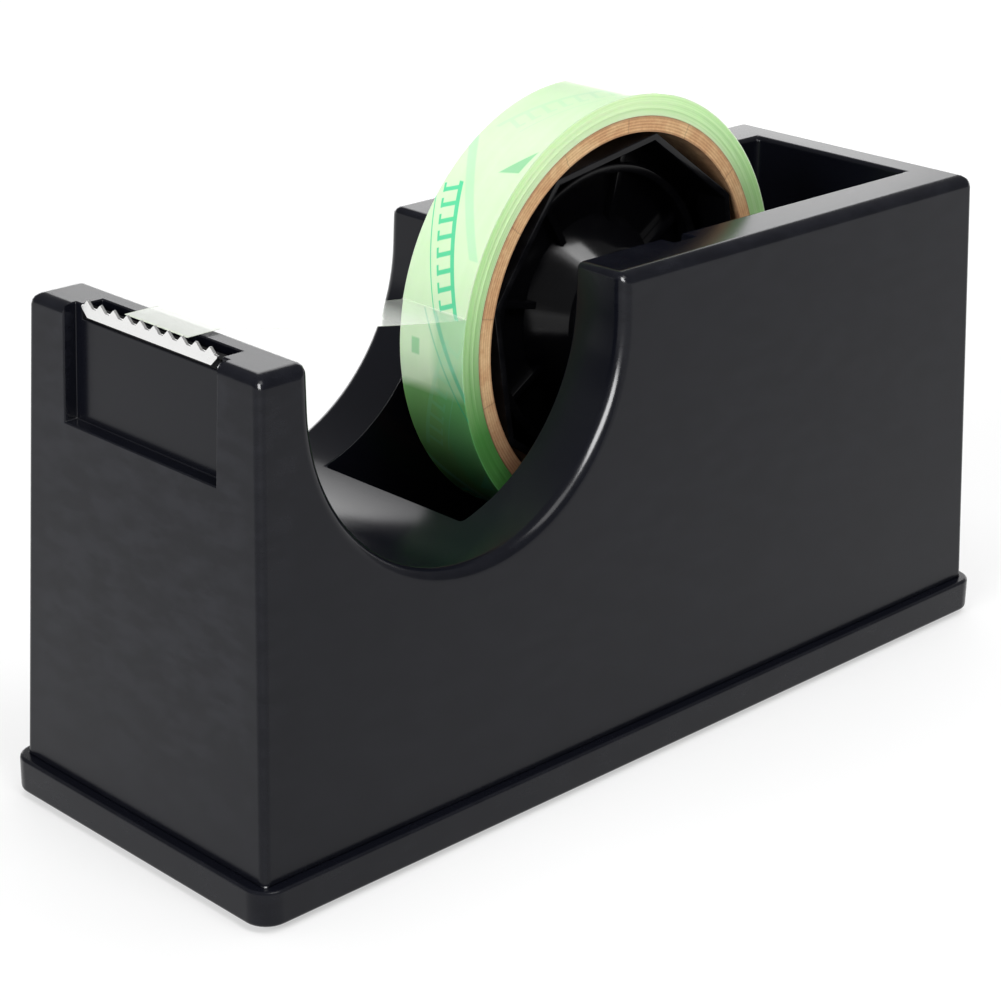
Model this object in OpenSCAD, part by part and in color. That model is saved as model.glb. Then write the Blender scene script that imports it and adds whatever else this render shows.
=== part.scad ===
// Weighted desktop tape dispenser: a moulded housing on a base plate, a serrated cutter at the
// front and a roll of clear tape on a removable hub. All sizes are in millimetres.
// The origin is on the desk at the centre of the footprint. The cutter is towards -X.

/* [Housing] */
// Length of the housing along its top edge
housing_length = 201.2; // [198:0.2:206]
// Width of the housing across its top edge
housing_width = 66.2; // [65:0.2:68]
// Height of the top edge above the desk
overall_height = 103.4; // [102.8:0.2:104.8]
// Thickness of the moulded walls
wall = 2.6; // [2.2:0.1:2.8]
// Mould draft of the long sides, in degrees
side_draft = 2.1; // [1.5:0.1:3]
// Mould draft of the front and rear faces, in degrees
end_draft = 2.28; // [1.5:0.01:3]
// Radius along the housing's top edges
edge_radius = 3; // [1:0.1:3.2]

/* [Side cut-out] */
// Thickness of the front column at its top
column_thickness = 11.7; // [11.2:0.1:12.2]
// Radius of the U-shaped cut-out through both sides
cutout_radius = 39; // [38:0.5:39.5]
// Height of the centre of the cut-out's arc
cutout_centre_height = 94.9; // [94:0.1:97]

/* [Roll well] */
// Lengthwise position of the well's front wall
well_front = -40.6; // [-41:0.1:-38]
// Lengthwise position of the well's rear wall
well_rear = 92; // [88:0.5:92]
// Height of the well's floor
well_floor = 30; // [29:0.5:32]
// Half the width of the well at its mouth
well_half_width = 20.8; // [20.6:0.1:21.4]
// Mould draft of the well's side walls, in degrees
well_draft = 1; // [0.5:0.1:1.2]
// Radius of the well's floor corners
well_corner = 7; // [4:0.5:10]

/* [Base] */
// Height of the base plate's rim above the desk
base_height = 8.6; // [8.2:0.1:9]
// Ledge of the base plate past the foot of the housing
base_ledge = 2.3; // [1.6:0.1:2.8]
// Thickness of the base plate's floor
base_floor = 3; // [2.8:0.1:3.2]
// Radius of the base plate's corners in plan
base_corner = 5; // [3.5:0.5:6]
// Radius of a rubber foot
foot_radius = 6; // [5:0.5:6.5]
// How far the feet stand out below the base plate
foot_proud = 1.3; // [1:0.1:1.4]

/* [Cutter] */
// Length of the cutter blade
blade_length = 39; // [38:0.1:39.4]
// Number of teeth on the blade
tooth_count = 10; // [8:1:12]
// Height of a tooth
tooth_height = 1.2; // [1:0.1:2]
// Thickness of the blade's steel
blade_thickness = 0.6; // [0.5:0.05:0.8]
// Depth of the recess in the front face
recess_depth = 2.8; // [2.6:0.1:3]
// Width of the recess in the front face
recess_width = 44; // [42:0.5:45]

/* [Tape roll] */
// Width of the tape
tape_width = 18; // [15:1:19]
// Outside diameter of the wound tape
tape_diameter = 91.8; // [88:0.1:95]
// Inside diameter of the cardboard core
core_diameter = 76.2; // [76:0.1:76.4]
// Wall thickness of the cardboard core
core_wall = 3.2; // [2.5:0.1:3.5]
// Lengthwise position of the roll's axis
roll_x = 15.8; // [14:0.1:18]
// Height of the roll's axis
roll_height = 83.7; // [83:0.1:86]

/* [Hub] */
// Radius of the small drum, which fits a 25.4 mm core
drum_radius = 12.6; // [12.4:0.05:12.6]
// Radius of the steel axle
axle_radius = 3; // [2.5:0.1:3.2]
// Radius of the two spacers that centre the hub
spacer_radius = 5.2; // [5:0.1:6]

/* [Hidden] */
$fn = 96;

reach = 300;      // longer than any part, for cuts that run right through
slip = 0.3;       // gap between pieces that move against each other
seat = 0.05;      // gap between pieces that are fitted together

moulding = "#2b2b2f";
rubber = "#1d1d1d";
steel = "#d8d8da";
card = "#c8a070";
film = "#9fe08a";

half_length = housing_length / 2;
half_width = housing_width / 2;
cutout_x = -half_length + column_thickness + cutout_radius;
foot_drop = overall_height - base_height;
foot_half_length = half_length + foot_drop * tan(end_draft);
foot_half_width = half_width + foot_drop * tan(side_draft);
base_half_length = foot_half_length + base_ledge;
base_half_width = foot_half_width + base_ledge;
rim_width = base_ledge + wall;

boss_radius = 4;
pilot_radius = 1.3;
boss_top = 40;
front_boss = [-90, 24];
rear_boss = [86, 25];
boss_places = [for (place = [front_boss, rear_boss], side = [-1, 1]) [place[0], side * place[1]]];
foot_places = [72, 28];

pad_thickness = 1.2;
ballast_bottom = foot_proud + base_floor + pad_thickness;
front_ballast_span = [-84, -44];
rear_ballast_span = [-43, 80];
ballast_half_width = 30.5;
ballast_corner = 3;

slot_half_width = axle_radius + 0.15;
slot_reach = 24.6;
axle_half_length = slot_reach - slip;

recess_bottom = 81;
column_solid_above = recess_bottom - wall;
groove_half_width = 20;
groove_front = -half_length + recess_depth + 0.9;
groove_rear = groove_front + 3.6;
groove_floor = 91.8;
holder_top = overall_height - 0.6;
nose_bottom = overall_height - 2.8;
nose_front = -half_length + recess_depth - 0.1;
blade_bottom = overall_height - 2;
blade_root = overall_height + 0.1;
blade_corner = 1.7;
tab_places = [-12, 12];
tab_width = 5;

core_outer_radius = core_diameter / 2 + core_wall;
roll_radius = tape_diameter / 2;
half_tape = tape_width / 2;
peel_angle = 169;
tail_thickness = 0.3;
tail_sag = 0.8;
tail_front = groove_front + 0.1;

wheel_vertex = core_diameter / 2 - 0.2;
wheel_turn = 32;
wheel_rim = 1.7;
wheel_half_width = half_tape - 0.4;
web_place = [1, 3];
sleeve_radius = 15.2;
ring_radius = 30.6;
flare_radius = 19.6;
flare_length = 8;
drum_half_width = half_tape + 0.2;

// The outline of a drafted block: sides that lean in by the draft, with rounded top corners
module tapered_outline(half_top, draft, bottom, top, radius) {
    half_bottom = half_top + (top - bottom) * tan(draft);
    centre_x = half_top - radius * (1 - sin(draft)) / cos(draft);
    shoulder = [centre_x + radius * cos(draft), top - radius + radius * sin(draft)];
    polygon([
        [-half_bottom, bottom], [half_bottom, bottom], shoulder, [centre_x, top],
        [-centre_x, top], [-shoulder[0], shoulder[1]]
    ]);
    for (side = [-1, 1])
        translate([side * centre_x, top - radius]) circle(radius);
}

// A block whose four sides lean in by the two drafts and whose top edges are round
module tapered_block(inset, bottom, radius) {
    top = overall_height - inset;
    intersection() {
        rotate([90, 0, 0]) linear_extrude(reach, center = true)
            tapered_outline(half_length - inset, end_draft, bottom, top, radius);
        rotate([90, 0, 90]) linear_extrude(reach, center = true)
            tapered_outline(half_width - inset, side_draft, bottom, top, radius);
    }
}

// The U-shaped passage through both sides, grown by a margin
module side_cutout(grow) {
    radius = cutout_radius + grow;
    rotate([90, 0, 0]) linear_extrude(reach, center = true)
        translate([cutout_x, cutout_centre_height]) {
            circle(radius);
            translate([-radius, 0]) square([2 * radius, overall_height]);
        }
}

// The well that holds the roll, grown by a margin
module roll_well(grow) {
    floor_height = well_floor - grow;
    radius = well_corner + grow;
    top = overall_height + 10;
    half_top = well_half_width + grow + 10 * tan(well_draft);
    half_floor = half_top - (top - floor_height) * tan(well_draft);
    intersection() {
        rotate([90, 0, 0]) linear_extrude(reach, center = true) {
            translate([well_front - grow, floor_height + radius])
                square([well_rear - well_front + 2 * grow, top - floor_height - radius]);
            translate([well_front - grow + radius, floor_height])
                square([well_rear - well_front + 2 * grow - 2 * radius, radius]);
            for (x = [well_front - grow + radius, well_rear + grow - radius])
                translate([x, floor_height + radius]) circle(radius);
        }
        rotate([90, 0, 90]) linear_extrude(reach, center = true)
            polygon([
                [-half_floor, floor_height], [half_floor, floor_height],
                [half_top, top], [-half_top, top]
            ]);
    }
}

// The hollow between the outer walls and the well, open at the foot
module shell_hollow() {
    difference() {
        tapered_block(wall, base_height - 1, 0.5);
        side_cutout(wall);
        roll_well(wall);
        translate([-half_length - 20, -reach / 2, column_solid_above])
            cube([column_thickness + 20 + wall, reach, reach]);
    }
}

// The shallow recess in the front face, parallel to the leaning face
module front_recess() {
    lean = (overall_height - recess_bottom) * tan(end_draft);
    rotate([90, 0, 0]) linear_extrude(recess_width, center = true)
        polygon([
            [-half_length - 20, recess_bottom],
            [-half_length - lean + recess_depth, recess_bottom],
            [-half_length + recess_depth, overall_height],
            [-half_length + recess_depth, overall_height + 5],
            [-half_length - 20, overall_height + 5]
        ]);
}

// The groove behind the blade, and the step that the holder's nose lies on
module cutter_groove() {
    translate([groove_front, -groove_half_width, groove_floor])
        cube([groove_rear - groove_front, 2 * groove_half_width, reach]);
    translate([-half_length - 20, -groove_half_width, nose_bottom])
        cube([groove_front - (-half_length - 20) + 0.1, 2 * groove_half_width, reach]);
}

// Slots in the well's side walls, open at the top, where the axle's ends lie
module axle_slots() {
    rotate([90, 0, 0]) linear_extrude(2 * slot_reach, center = true)
        translate([roll_x, roll_height]) {
            circle(slot_half_width);
            translate([-slot_half_width, 0]) square([2 * slot_half_width, overall_height]);
        }
}

// Solid blocks behind the slots, so that the slots stay closed towards the hollow
module slot_blocks() {
    block = slot_half_width + 2.4;
    translate([roll_x - block, -slot_reach - 2.4, roll_height - 8])
        cube([2 * block, 2 * slot_reach + 4.8, overall_height - wall + 0.5 - roll_height + 8]);
}

// One boss for a base screw, tied to the side wall by a rib
module screw_boss(place) {
    side = sign(place[1]);
    foot = foot_proud + base_floor + 0.1;
    translate([place[0], place[1], foot]) cylinder(r = boss_radius, h = boss_top - foot);
    translate([place[0] - 0.9, side > 0 ? place[1] : -34, base_height + 3])
        cube([1.8, 34 - abs(place[1]), boss_top - base_height - 3]);
}

// A rounded rectangle, centred, as a flat outline
module rounded_rectangle(half_x, half_y, radius) {
    square([2 * half_x, 2 * (half_y - radius)], center = true);
    square([2 * (half_x - radius), 2 * half_y], center = true);
    for (x = [-1, 1], y = [-1, 1])
        translate([x * (half_x - radius), y * (half_y - radius)]) circle(radius);
}

// The double-walled moulding: outer walls, well, cut-out and front column
module housing_shell() {
    color(moulding) difference() {
        union() {
            difference() {
                tapered_block(0, base_height, edge_radius);
                shell_hollow();
            }
            slot_blocks();
            for (place = boss_places) screw_boss(place);
        }
        side_cutout(0);
        roll_well(0);
        front_recess();
        cutter_groove();
        axle_slots();
        for (place = boss_places)
            translate([place[0], place[1], 0]) cylinder(r = pilot_radius, h = boss_top - 12);
    }
}

// The tray that closes the housing from below
module base_plate() {
    floor_top = foot_proud + base_floor;
    rib_half_length = base_half_length - rim_width - 0.2;
    rib_half_width = base_half_width - rim_width - 0.2;
    rib = 1.5;
    color(moulding) difference() {
        union() {
            translate([0, 0, foot_proud]) linear_extrude(base_height - foot_proud)
                rounded_rectangle(base_half_length, base_half_width, base_corner);
            translate([0, 0, floor_top]) linear_extrude(base_height + 2.6 - floor_top)
                square([2 * rib_half_length, 2 * rib_half_width], center = true);
        }
        translate([0, 0, floor_top]) linear_extrude(reach)
            square([2 * (rib_half_length - rib), 2 * (rib_half_width - rib)], center = true);
        for (place = boss_places) translate([place[0], place[1], 0]) {
            cylinder(r = pilot_radius + 0.4, h = reach);
            cylinder(r = 3.4, h = foot_proud + 1.8);
        }
        for (x = [-1, 1], y = [-1, 1])
            translate([x * foot_places[0], y * foot_places[1], 0])
                cylinder(r = foot_radius + seat, h = foot_proud + 1.6);
    }
}

// Cast ballast with rounded corners, standing on its foam pad
module ballast(span, height) {
    color("#8f8f8a") translate([(span[0] + span[1]) / 2, 0, ballast_bottom]) linear_extrude(height)
        rounded_rectangle((span[1] - span[0]) / 2, ballast_half_width, ballast_corner);
}

module ballast_front() {
    ballast(front_ballast_span, 46.4);
}

module ballast_rear() {
    ballast(rear_ballast_span, 21.4);
}

// A foam pad that keeps a ballast block from rattling
module ballast_pad(span) {
    inset = 2;
    color("#4a4a4a") translate([(span[0] + span[1]) / 2, 0, ballast_bottom - pad_thickness])
        linear_extrude(pad_thickness)
            rounded_rectangle((span[1] - span[0]) / 2 - inset, ballast_half_width - 6, 2);
}

module ballast_pad_front() {
    ballast_pad(front_ballast_span);
}

module ballast_pad_rear() {
    ballast_pad(rear_ballast_span);
}

// Four pan-head screws, each in its counterbore under the base plate
module base_screws() {
    head_bottom = foot_proud + 0.2;
    head_top = foot_proud + 1.8;
    color(steel) for (place = boss_places) translate([place[0], place[1], 0]) difference() {
        union() {
            translate([0, 0, head_bottom]) cylinder(r = 3, h = head_top - head_bottom);
            translate([0, 0, head_bottom]) cylinder(r = pilot_radius - seat, h = 22);
        }
        for (turn = [0, 90]) rotate(turn)
            translate([-1.8, -0.35, 0]) cube([3.6, 0.7, head_bottom + 0.9]);
    }
}

// A rubber foot in its socket
module foot(side_x, side_y) {
    color(rubber) translate([side_x * foot_places[0], side_y * foot_places[1], 0])
        cylinder(r = foot_radius, h = foot_proud + 1.6);
}

module foot_front_near() {
    foot(-1, -1);
}

module foot_front_far() {
    foot(-1, 1);
}

module foot_rear_near() {
    foot(1, -1);
}

module foot_rear_far() {
    foot(1, 1);
}

// The insert that carries the blade: a stem in the groove and a nose over the recess
module blade_holder() {
    half = groove_half_width - seat;
    stem_front = groove_front + seat;
    stem = 1.4;
    color(moulding) difference() {
        rotate([90, 0, 0]) linear_extrude(2 * half, center = true) polygon([
            [stem_front, groove_floor + seat], [groove_rear - seat, groove_floor + seat],
            [groove_rear - seat, groove_floor + 3], [stem_front + stem, groove_floor + 3],
            [stem_front + stem, holder_top], [nose_front, holder_top],
            [nose_front, nose_bottom + seat], [stem_front, nose_bottom + seat]
        ]);
        for (y = tab_places)
            translate([nose_front - 1, y - tab_width / 2 - seat, blade_bottom + 0.4 - seat])
                cube([reach, tab_width + 2 * seat, blade_thickness + 2 * seat]);
    }
}

// The serrated blade: a toothed strip with chamfered lower corners and two tabs at its back
module cutter_blade() {
    half = blade_length / 2;
    pitch = blade_length / tooth_count;
    gullet = 0.3 * pitch;
    tip = 0.2;
    teeth = [
        for (i = [0 : tooth_count - 1], corner = [
            [gullet / 2, 0], [pitch / 2 - tip / 2, tooth_height],
            [pitch / 2 + tip / 2, tooth_height], [pitch - gullet / 2, 0]
        ]) [-half + i * pitch + corner[0], blade_root + corner[1]]
    ];
    foot_line = [
        [half, blade_root], [half, blade_bottom + blade_corner],
        [half - blade_corner, blade_bottom], [-half + blade_corner, blade_bottom],
        [-half, blade_bottom + blade_corner], [-half, blade_root]
    ];
    color(steel) {
        translate([nose_front - blade_thickness, 0, 0]) rotate([90, 0, 90])
            linear_extrude(blade_thickness) polygon(concat(teeth, foot_line));
        for (y = tab_places)
            translate([nose_front - blade_thickness / 2, y - tab_width / 2, blade_bottom + 0.4])
                cube([1.6, tab_width, blade_thickness]);
    }
}

// A cylinder along Y through the roll's axis, between two distances from the middle
module along_axle(radius, from, to, sides = 96) {
    translate([roll_x, to, roll_height]) rotate([90, 0, 0])
        cylinder(r = radius, h = to - from, $fn = sides);
}

// The steel axle, whose ends lie in the slots
module axle_rod() {
    color(steel) along_axle(axle_radius, -axle_half_length, axle_half_length);
}

// A spacer tube between the hub and the well's side wall
module spacer(side) {
    inner = drum_half_width + slip;
    outer = well_half_width - 0.9;
    color(moulding) mirror([0, side < 0 ? 1 : 0, 0]) difference() {
        along_axle(spacer_radius, inner, outer);
        along_axle(axle_radius + 0.02, inner - 1, outer + 1);
    }
}

module spacer_near() {
    spacer(-1);
}

module spacer_far() {
    spacer(1);
}

// The free end of the tape, from the peel line on the roll to just behind the blade
module tape_tail() {
    start_radius = roll_radius + slip + tail_thickness;
    start = [roll_x + start_radius * cos(peel_angle), roll_height + start_radius * sin(peel_angle)];
    rest_height = overall_height + slip;
    rest_start = [-half_length + column_thickness + 1, rest_height];
    steps = 12;
    lower = [
        for (i = [0 : steps]) let (t = i / steps)
            start + (rest_start - start) * t - [0, 4 * tail_sag * t * (1 - t)]
    ];
    path = concat(lower, [[tail_front, rest_height]]);
    count = len(path);
    color(film, 0.4) rotate([90, 0, 0]) linear_extrude(tape_width, center = true)
        polygon(concat(path, [for (i = [1 : count]) path[count - i] + [0, tail_thickness]]));
}

// The octagonal carrier for a 76 mm core: rim, web, raised ring, ribs, sleeve and near flare
module hub_wheel() {
    rim_inner = wheel_vertex - wheel_rim;
    half = wheel_half_width;
    color(moulding) translate([roll_x, 0, roll_height]) rotate([90, 0, 0]) {
        difference() {
            union() {
                rotate(wheel_turn) difference() {
                    translate([0, 0, -half]) cylinder(r = wheel_vertex, h = 2 * half, $fn = 8);
                    translate([0, 0, -web_place[0]])
                        cylinder(r = rim_inner, h = reach, $fn = 8);
                    translate([0, 0, -web_place[1] - reach])
                        cylinder(r = rim_inner, h = reach, $fn = 8);
                }
                translate([0, 0, -web_place[0] - 0.1]) difference() {
                    cylinder(r = ring_radius, h = 4.1);
                    translate([0, 0, -1]) cylinder(r = ring_radius - 2, h = 6);
                }
                for (i = [0 : 7]) rotate(wheel_turn + 45 * i)
                    translate([sleeve_radius - 1, -0.8, -web_place[0] - 0.1])
                        cube([rim_inner - sleeve_radius + 1, 1.6, 2.1]);
                translate([0, 0, -half]) cylinder(r = sleeve_radius, h = half);
                translate([0, 0, -web_place[0]])
                    cylinder(r1 = flare_radius, r2 = drum_radius + 1, h = flare_length);
            }
            translate([0, 0, -reach / 2]) cylinder(r = drum_radius + seat, h = reach);
            translate([0, 0, -half - 1]) cylinder(r = sleeve_radius + 1, h = 3.4);
        }
    }
}

// The drum that runs on the axle and also takes a 25.4 mm core
module hub_drum() {
    half = drum_half_width;
    shell = 1.8;
    boss = 5.4;
    color(moulding) difference() {
        along_axle(drum_radius, -half, half);
        for (span = [[-half - 1, -1.2], [1.2, half + 1]]) difference() {
            along_axle(drum_radius - shell, span[0], span[1]);
            along_axle(boss, -reach, reach);
        }
        along_axle(axle_radius + seat, -reach, reach);
    }
}

// The ring that locks the wheel on the drum, on the far side
module hub_retainer() {
    color(moulding) difference() {
        along_axle(sleeve_radius + 0.6, wheel_half_width - 2.2, wheel_half_width - 0.4);
        along_axle(drum_radius + seat, -reach, reach);
    }
}

module cardboard_core() {
    color(card) difference() {
        along_axle(core_outer_radius, -half_tape, half_tape);
        along_axle(core_diameter / 2, -reach, reach);
    }
}

module tape_roll() {
    color(film) difference() {
        along_axle(roll_radius, -half_tape, half_tape);
        along_axle(core_outer_radius + seat, -reach, reach);
    }
}

housing_shell();
base_plate();
ballast_front();
ballast_rear();
ballast_pad_front();
ballast_pad_rear();
base_screws();
foot_front_near();
foot_front_far();
foot_rear_near();
foot_rear_far();
blade_holder();
cutter_blade();
axle_rod();
spacer_near();
spacer_far();
tape_tail();
hub_wheel();
hub_drum();
hub_retainer();
cardboard_core();
tape_roll();
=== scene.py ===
"""Desktop tape dispenser: the visual model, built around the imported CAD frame.

Lengths in the constants are millimetres in the frame's own axes: the origin is on the desk under
the middle of the base, the cutter is towards -X, and the roll turns about Y. Meshes are made in
metres.
"""
import math
import random

import bmesh
import bpy
from mathutils import Matrix, Vector


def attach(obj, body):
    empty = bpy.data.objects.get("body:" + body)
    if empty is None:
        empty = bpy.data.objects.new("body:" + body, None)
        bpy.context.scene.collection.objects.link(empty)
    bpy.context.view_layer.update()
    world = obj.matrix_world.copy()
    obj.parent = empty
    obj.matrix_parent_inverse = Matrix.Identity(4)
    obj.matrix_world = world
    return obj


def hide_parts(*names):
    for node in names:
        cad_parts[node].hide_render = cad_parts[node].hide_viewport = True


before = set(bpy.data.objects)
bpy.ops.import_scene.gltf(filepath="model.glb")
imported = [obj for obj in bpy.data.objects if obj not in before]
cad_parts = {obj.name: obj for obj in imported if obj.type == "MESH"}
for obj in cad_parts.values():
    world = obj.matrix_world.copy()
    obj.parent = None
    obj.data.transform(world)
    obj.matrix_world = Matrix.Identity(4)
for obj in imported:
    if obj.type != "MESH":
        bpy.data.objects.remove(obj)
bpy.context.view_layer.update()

MM = 0.001
TAU = 2 * math.pi
SEAT = 0.05  # gap between pieces that are fitted together
PIN = 0.02  # radius left open along the axis of a solid turned section

# ------------------------ sizes, from the CAD model

TOP = 103.4
HALF_LENGTH = 100.6
HALF_WIDTH = 33.1
SIDE_SLOPE = math.tan(math.radians(2.1))
END_SLOPE = math.tan(math.radians(2.28))

CUT_X = -49.9
CUT_Z = 94.9
CUT_RADIUS = 39.0

WELL_FRONT = -40.6
WELL_REAR = 92.0
WELL_FLOOR = 30.0
WELL_CORNER = 7.0
WELL_HALF = 20.8
WELL_SLOPE = math.tan(math.radians(1))

RECESS_HALF = 22.0
RECESS_BOTTOM = 81.0
RECESS_DEPTH = 2.8
GROOVE_HALF = 20.0
GROOVE_FRONT = -96.9
GROOVE_REAR = -93.3
GROOVE_FLOOR = 91.8
NOSE_BOTTOM = 100.6
NOSE_FRONT = -97.9
HOLDER_TOP = 102.8

BASE_BOTTOM = 1.3
BASE_HEIGHT = 8.6
BASE_FLOOR_TOP = 4.3
BASE_HALF_LENGTH = 106.67
BASE_HALF_WIDTH = 38.87
BASE_CORNER = 5.0
RIB_HALF_LENGTH = 101.57
RIB_HALF_WIDTH = 33.78
RIB_TOP = 11.2
RIB_CORNER = 2.2
SCREW_PLACES = [(-90, -24), (-90, 24), (86, -25), (86, 25)]
FOOT_PLACES = {
    "foot_front_near": (-72, -28), "foot_front_far": (-72, 28),
    "foot_rear_near": (72, -28), "foot_rear_far": (72, 28),
}
FOOT_RADIUS = 6.0
FOOT_TOP = 2.9
SCREW_SEAT = BASE_BOTTOM + 1.8
SCREW_TIP = 23.5
COUNTERBORE_RADIUS = 3.4
SCREW_HOLE_RADIUS = 1.7

BLADE_HALF = 19.5
BLADE_THICKNESS = 0.6
BLADE_BOTTOM = 101.4
BLADE_ROOT = 103.5
BLADE_CORNER = 1.7
TOOTH_COUNT = 10
TOOTH_HEIGHT = 1.2
TAB_PLACES = (-12, 12)
TAB_HALF = 2.5
TAB_LOW = 101.8
TAB_HIGH = 102.4
TAB_LENGTH = 1.3

ROLL_X = 15.8
ROLL_Z = 83.7
SLOT_HALF = 3.15
SLOT_REACH = 24.6
AXLE_RADIUS = 3.0
AXLE_HALF = 24.3
SPACER_RADIUS = 5.2
SPACER_BORE = AXLE_RADIUS + 0.02
SPACER_START = 9.5
SPACER_END = 19.9
HALF_TAPE = 9.0
CORE_INNER = 38.1
CORE_OUTER = 41.3
ROLL_RADIUS = 45.9
PEEL_ANGLE = math.radians(169)

DRUM_RADIUS = 12.6
DRUM_HALF = 9.2
WHEEL_TURN = math.radians(32)
WHEEL_VERTEX = 37.9
WHEEL_INNER_VERTEX = 36.2
WHEEL_HALF = 8.6
WEB_NEAR = 1.0
WEB_FAR = 3.0
SLEEVE_RADIUS = 15.2
RING_RADIUS = 30.6
RING_WIDTH = 2.0
RING_NEAR = -3.0
FLARE_RADIUS = 19.6
SLEEVE_NEAR = -7.0
SLEEVE_FAR = 6.2
RETAINER_RADIUS = 15.8
RETAINER_NEAR = 6.4
RETAINER_FAR = 8.2

# ------------------------ mesh tools


def new_object(name, data):
    """A new object in the scene, from a mesh, a light or a camera."""
    obj = bpy.data.objects.new(name, data)
    bpy.context.scene.collection.objects.link(obj)
    return obj


class Shell:
    """A closed skin given face by face. Equal corners merge, and each face has a kind."""

    def __init__(self):
        self.index = {}
        self.corners = []
        self.faces = []
        self.kinds = []

    def corner(self, point):
        key = tuple(round(c, 3) for c in point)
        if key not in self.index:
            self.index[key] = len(self.corners)
            self.corners.append(key)
        return self.index[key]

    def face(self, kind, points):
        ring = [self.corner(p) for p in points]
        ring = [c for i, c in enumerate(ring) if c != ring[i - 1]]
        if len(ring) > 2:
            self.faces.append(ring)
            self.kinds.append(kind)

    def build(self, name):
        mesh = bpy.data.meshes.new(name)
        scaled = [Vector(c) * MM for c in self.corners]
        mesh.from_pydata(scaled, [], self.faces)
        names = sorted(set(self.kinds))
        kind = mesh.attributes.new("kind", "INT", "FACE")
        for i, k in enumerate(self.kinds):
            kind.data[i].value = names.index(k)
        return new_object(name, mesh), names


def arc(centre_x, centre_z, radius, start, end, steps):
    """Points on an arc, from the start angle to the end angle, in radians."""
    return [
        (
            centre_x + radius * math.cos(start + (end - start) * i / steps),
            centre_z + radius * math.sin(start + (end - start) * i / steps),
        )
        for i in range(steps + 1)
    ]


def object_from(bm, name):
    """A new object from a bmesh, with outward normals."""
    bmesh.ops.recalc_face_normals(bm, faces=bm.faces)
    mesh = bpy.data.meshes.new(name)
    bm.to_mesh(mesh)
    bm.free()
    return new_object(name, mesh)


def apply_modifiers(obj):
    """Turns the modifier stack into plain mesh."""
    bpy.context.view_layer.update()
    depsgraph = bpy.context.evaluated_depsgraph_get()
    mesh = bpy.data.meshes.new_from_object(obj.evaluated_get(depsgraph))
    obj.modifiers.clear()
    obj.data = mesh
    return obj


def combine(obj, other, operation):
    """A boolean of two closed meshes. The second one is used up."""
    cut = obj.modifiers.new("combine", "BOOLEAN")
    cut.operation = operation
    cut.solver = "EXACT"
    cut.object = other
    apply_modifiers(obj)
    bpy.data.objects.remove(other)
    return obj


def round_edges(obj, width, segments=3, angle=30):
    """Rounds every edge sharper than an angle, width in millimetres."""
    bevel = obj.modifiers.new("round", "BEVEL")
    bevel.width = width * MM
    bevel.segments = segments
    bevel.limit_method = "ANGLE"
    bevel.angle_limit = math.radians(angle)
    bevel.use_clamp_overlap = True
    return apply_modifiers(obj)


def smooth(obj, angle=35):
    """Smooth shading that keeps the flats flat and the sharp edges sharp."""
    for polygon in obj.data.polygons:
        polygon.use_smooth = True
    weighted = obj.modifiers.new("weighted", "WEIGHTED_NORMAL")
    weighted.keep_sharp = True
    weighted.weight = 80
    bm = bmesh.new()
    bm.from_mesh(obj.data)
    limit = math.radians(angle)
    for edge in bm.edges:
        edge.smooth = not (edge.is_manifold and edge.calc_face_angle(0) > limit)
    bm.to_mesh(obj.data)
    bm.free()
    return obj


def finish_piece(obj, body, material, nodes=()):
    """Gives a piece its material and slot, and fixes it to a body."""
    obj.data.materials.clear()
    obj.data.materials.append(material)
    if nodes:
        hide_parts(*nodes)
    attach(obj, body)
    return obj


def merged(name, parts):
    """One object from several separate ones, which are used up."""
    bm = bmesh.new()
    for part in parts:
        bm.from_mesh(part.data)
        bpy.data.objects.remove(part)
    return object_from(bm, name)


def softened(outline, distance, steps=3):
    """The closed outline with each corner rounded over a distance along both its edges."""
    points = []
    count = len(outline)
    for i in range(count):
        corner = Vector(outline[i])
        back = Vector(outline[i - 1]) - corner
        ahead = Vector(outline[(i + 1) % count]) - corner
        first = corner + back * min(0.45, distance / back.length)
        last = corner + ahead * min(0.45, distance / ahead.length)
        for j in range(steps + 1):
            t = j / steps
            points.append(tuple(first * (1 - t) ** 2 + corner * 2 * t * (1 - t) + last * t ** 2))
    return points


def skinned(name, loops, closed=False):
    """A skin over loops of equally many points, capped at both ends or joined end to end."""
    bm = bmesh.new()
    rings = [[bm.verts.new(Vector(p) * MM) for p in loop] for loop in loops]
    pairs = list(zip(rings, rings[1:]))
    if closed:
        pairs.append((rings[-1], rings[0]))
    else:
        bm.faces.new(rings[0])
        bm.faces.new(rings[-1])
    for low, high in pairs:
        for i in range(len(low)):
            j = (i + 1) % len(low)
            bm.faces.new((low[i], low[j], high[j], high[i]))
    return object_from(bm, name)


def about_roll(radius, angle, y):
    """A point at a radius and an angle from +X towards +Z, round the roll's axis."""
    return (ROLL_X + radius * math.cos(angle), y, ROLL_Z + radius * math.sin(angle))


def turned(name, profile, sides=144):
    """A closed profile of (radius, y) turned round the roll's axis."""
    return skinned(name, [
        [about_roll(r, TAU * i / sides, y) for r, y in profile] for i in range(sides)
    ], closed=True)


def turned_upright(name, profile, place, sides=64):
    """A closed profile of (radius, z) turned round an upright axis at a place (x, y)."""
    return skinned(name, [
        [
            (place[0] + r * math.cos(TAU * i / sides), place[1] + r * math.sin(TAU * i / sides), z)
            for r, z in profile
        ]
        for i in range(sides)
    ], closed=True)


def disc(name, radius, low, high, place=None, sides=96):
    """A plain solid cylinder for cuts: along Y through the roll's axis, or upright at a place."""
    loops = []
    for level in (low, high):
        angles = [TAU * i / sides for i in range(sides)]
        if place is None:
            loops.append([about_roll(radius, a, level) for a in angles])
        else:
            loops.append([
                (place[0] + radius * math.cos(a), place[1] + radius * math.sin(a), level)
                for a in angles
            ])
    return skinned(name, loops)


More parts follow.
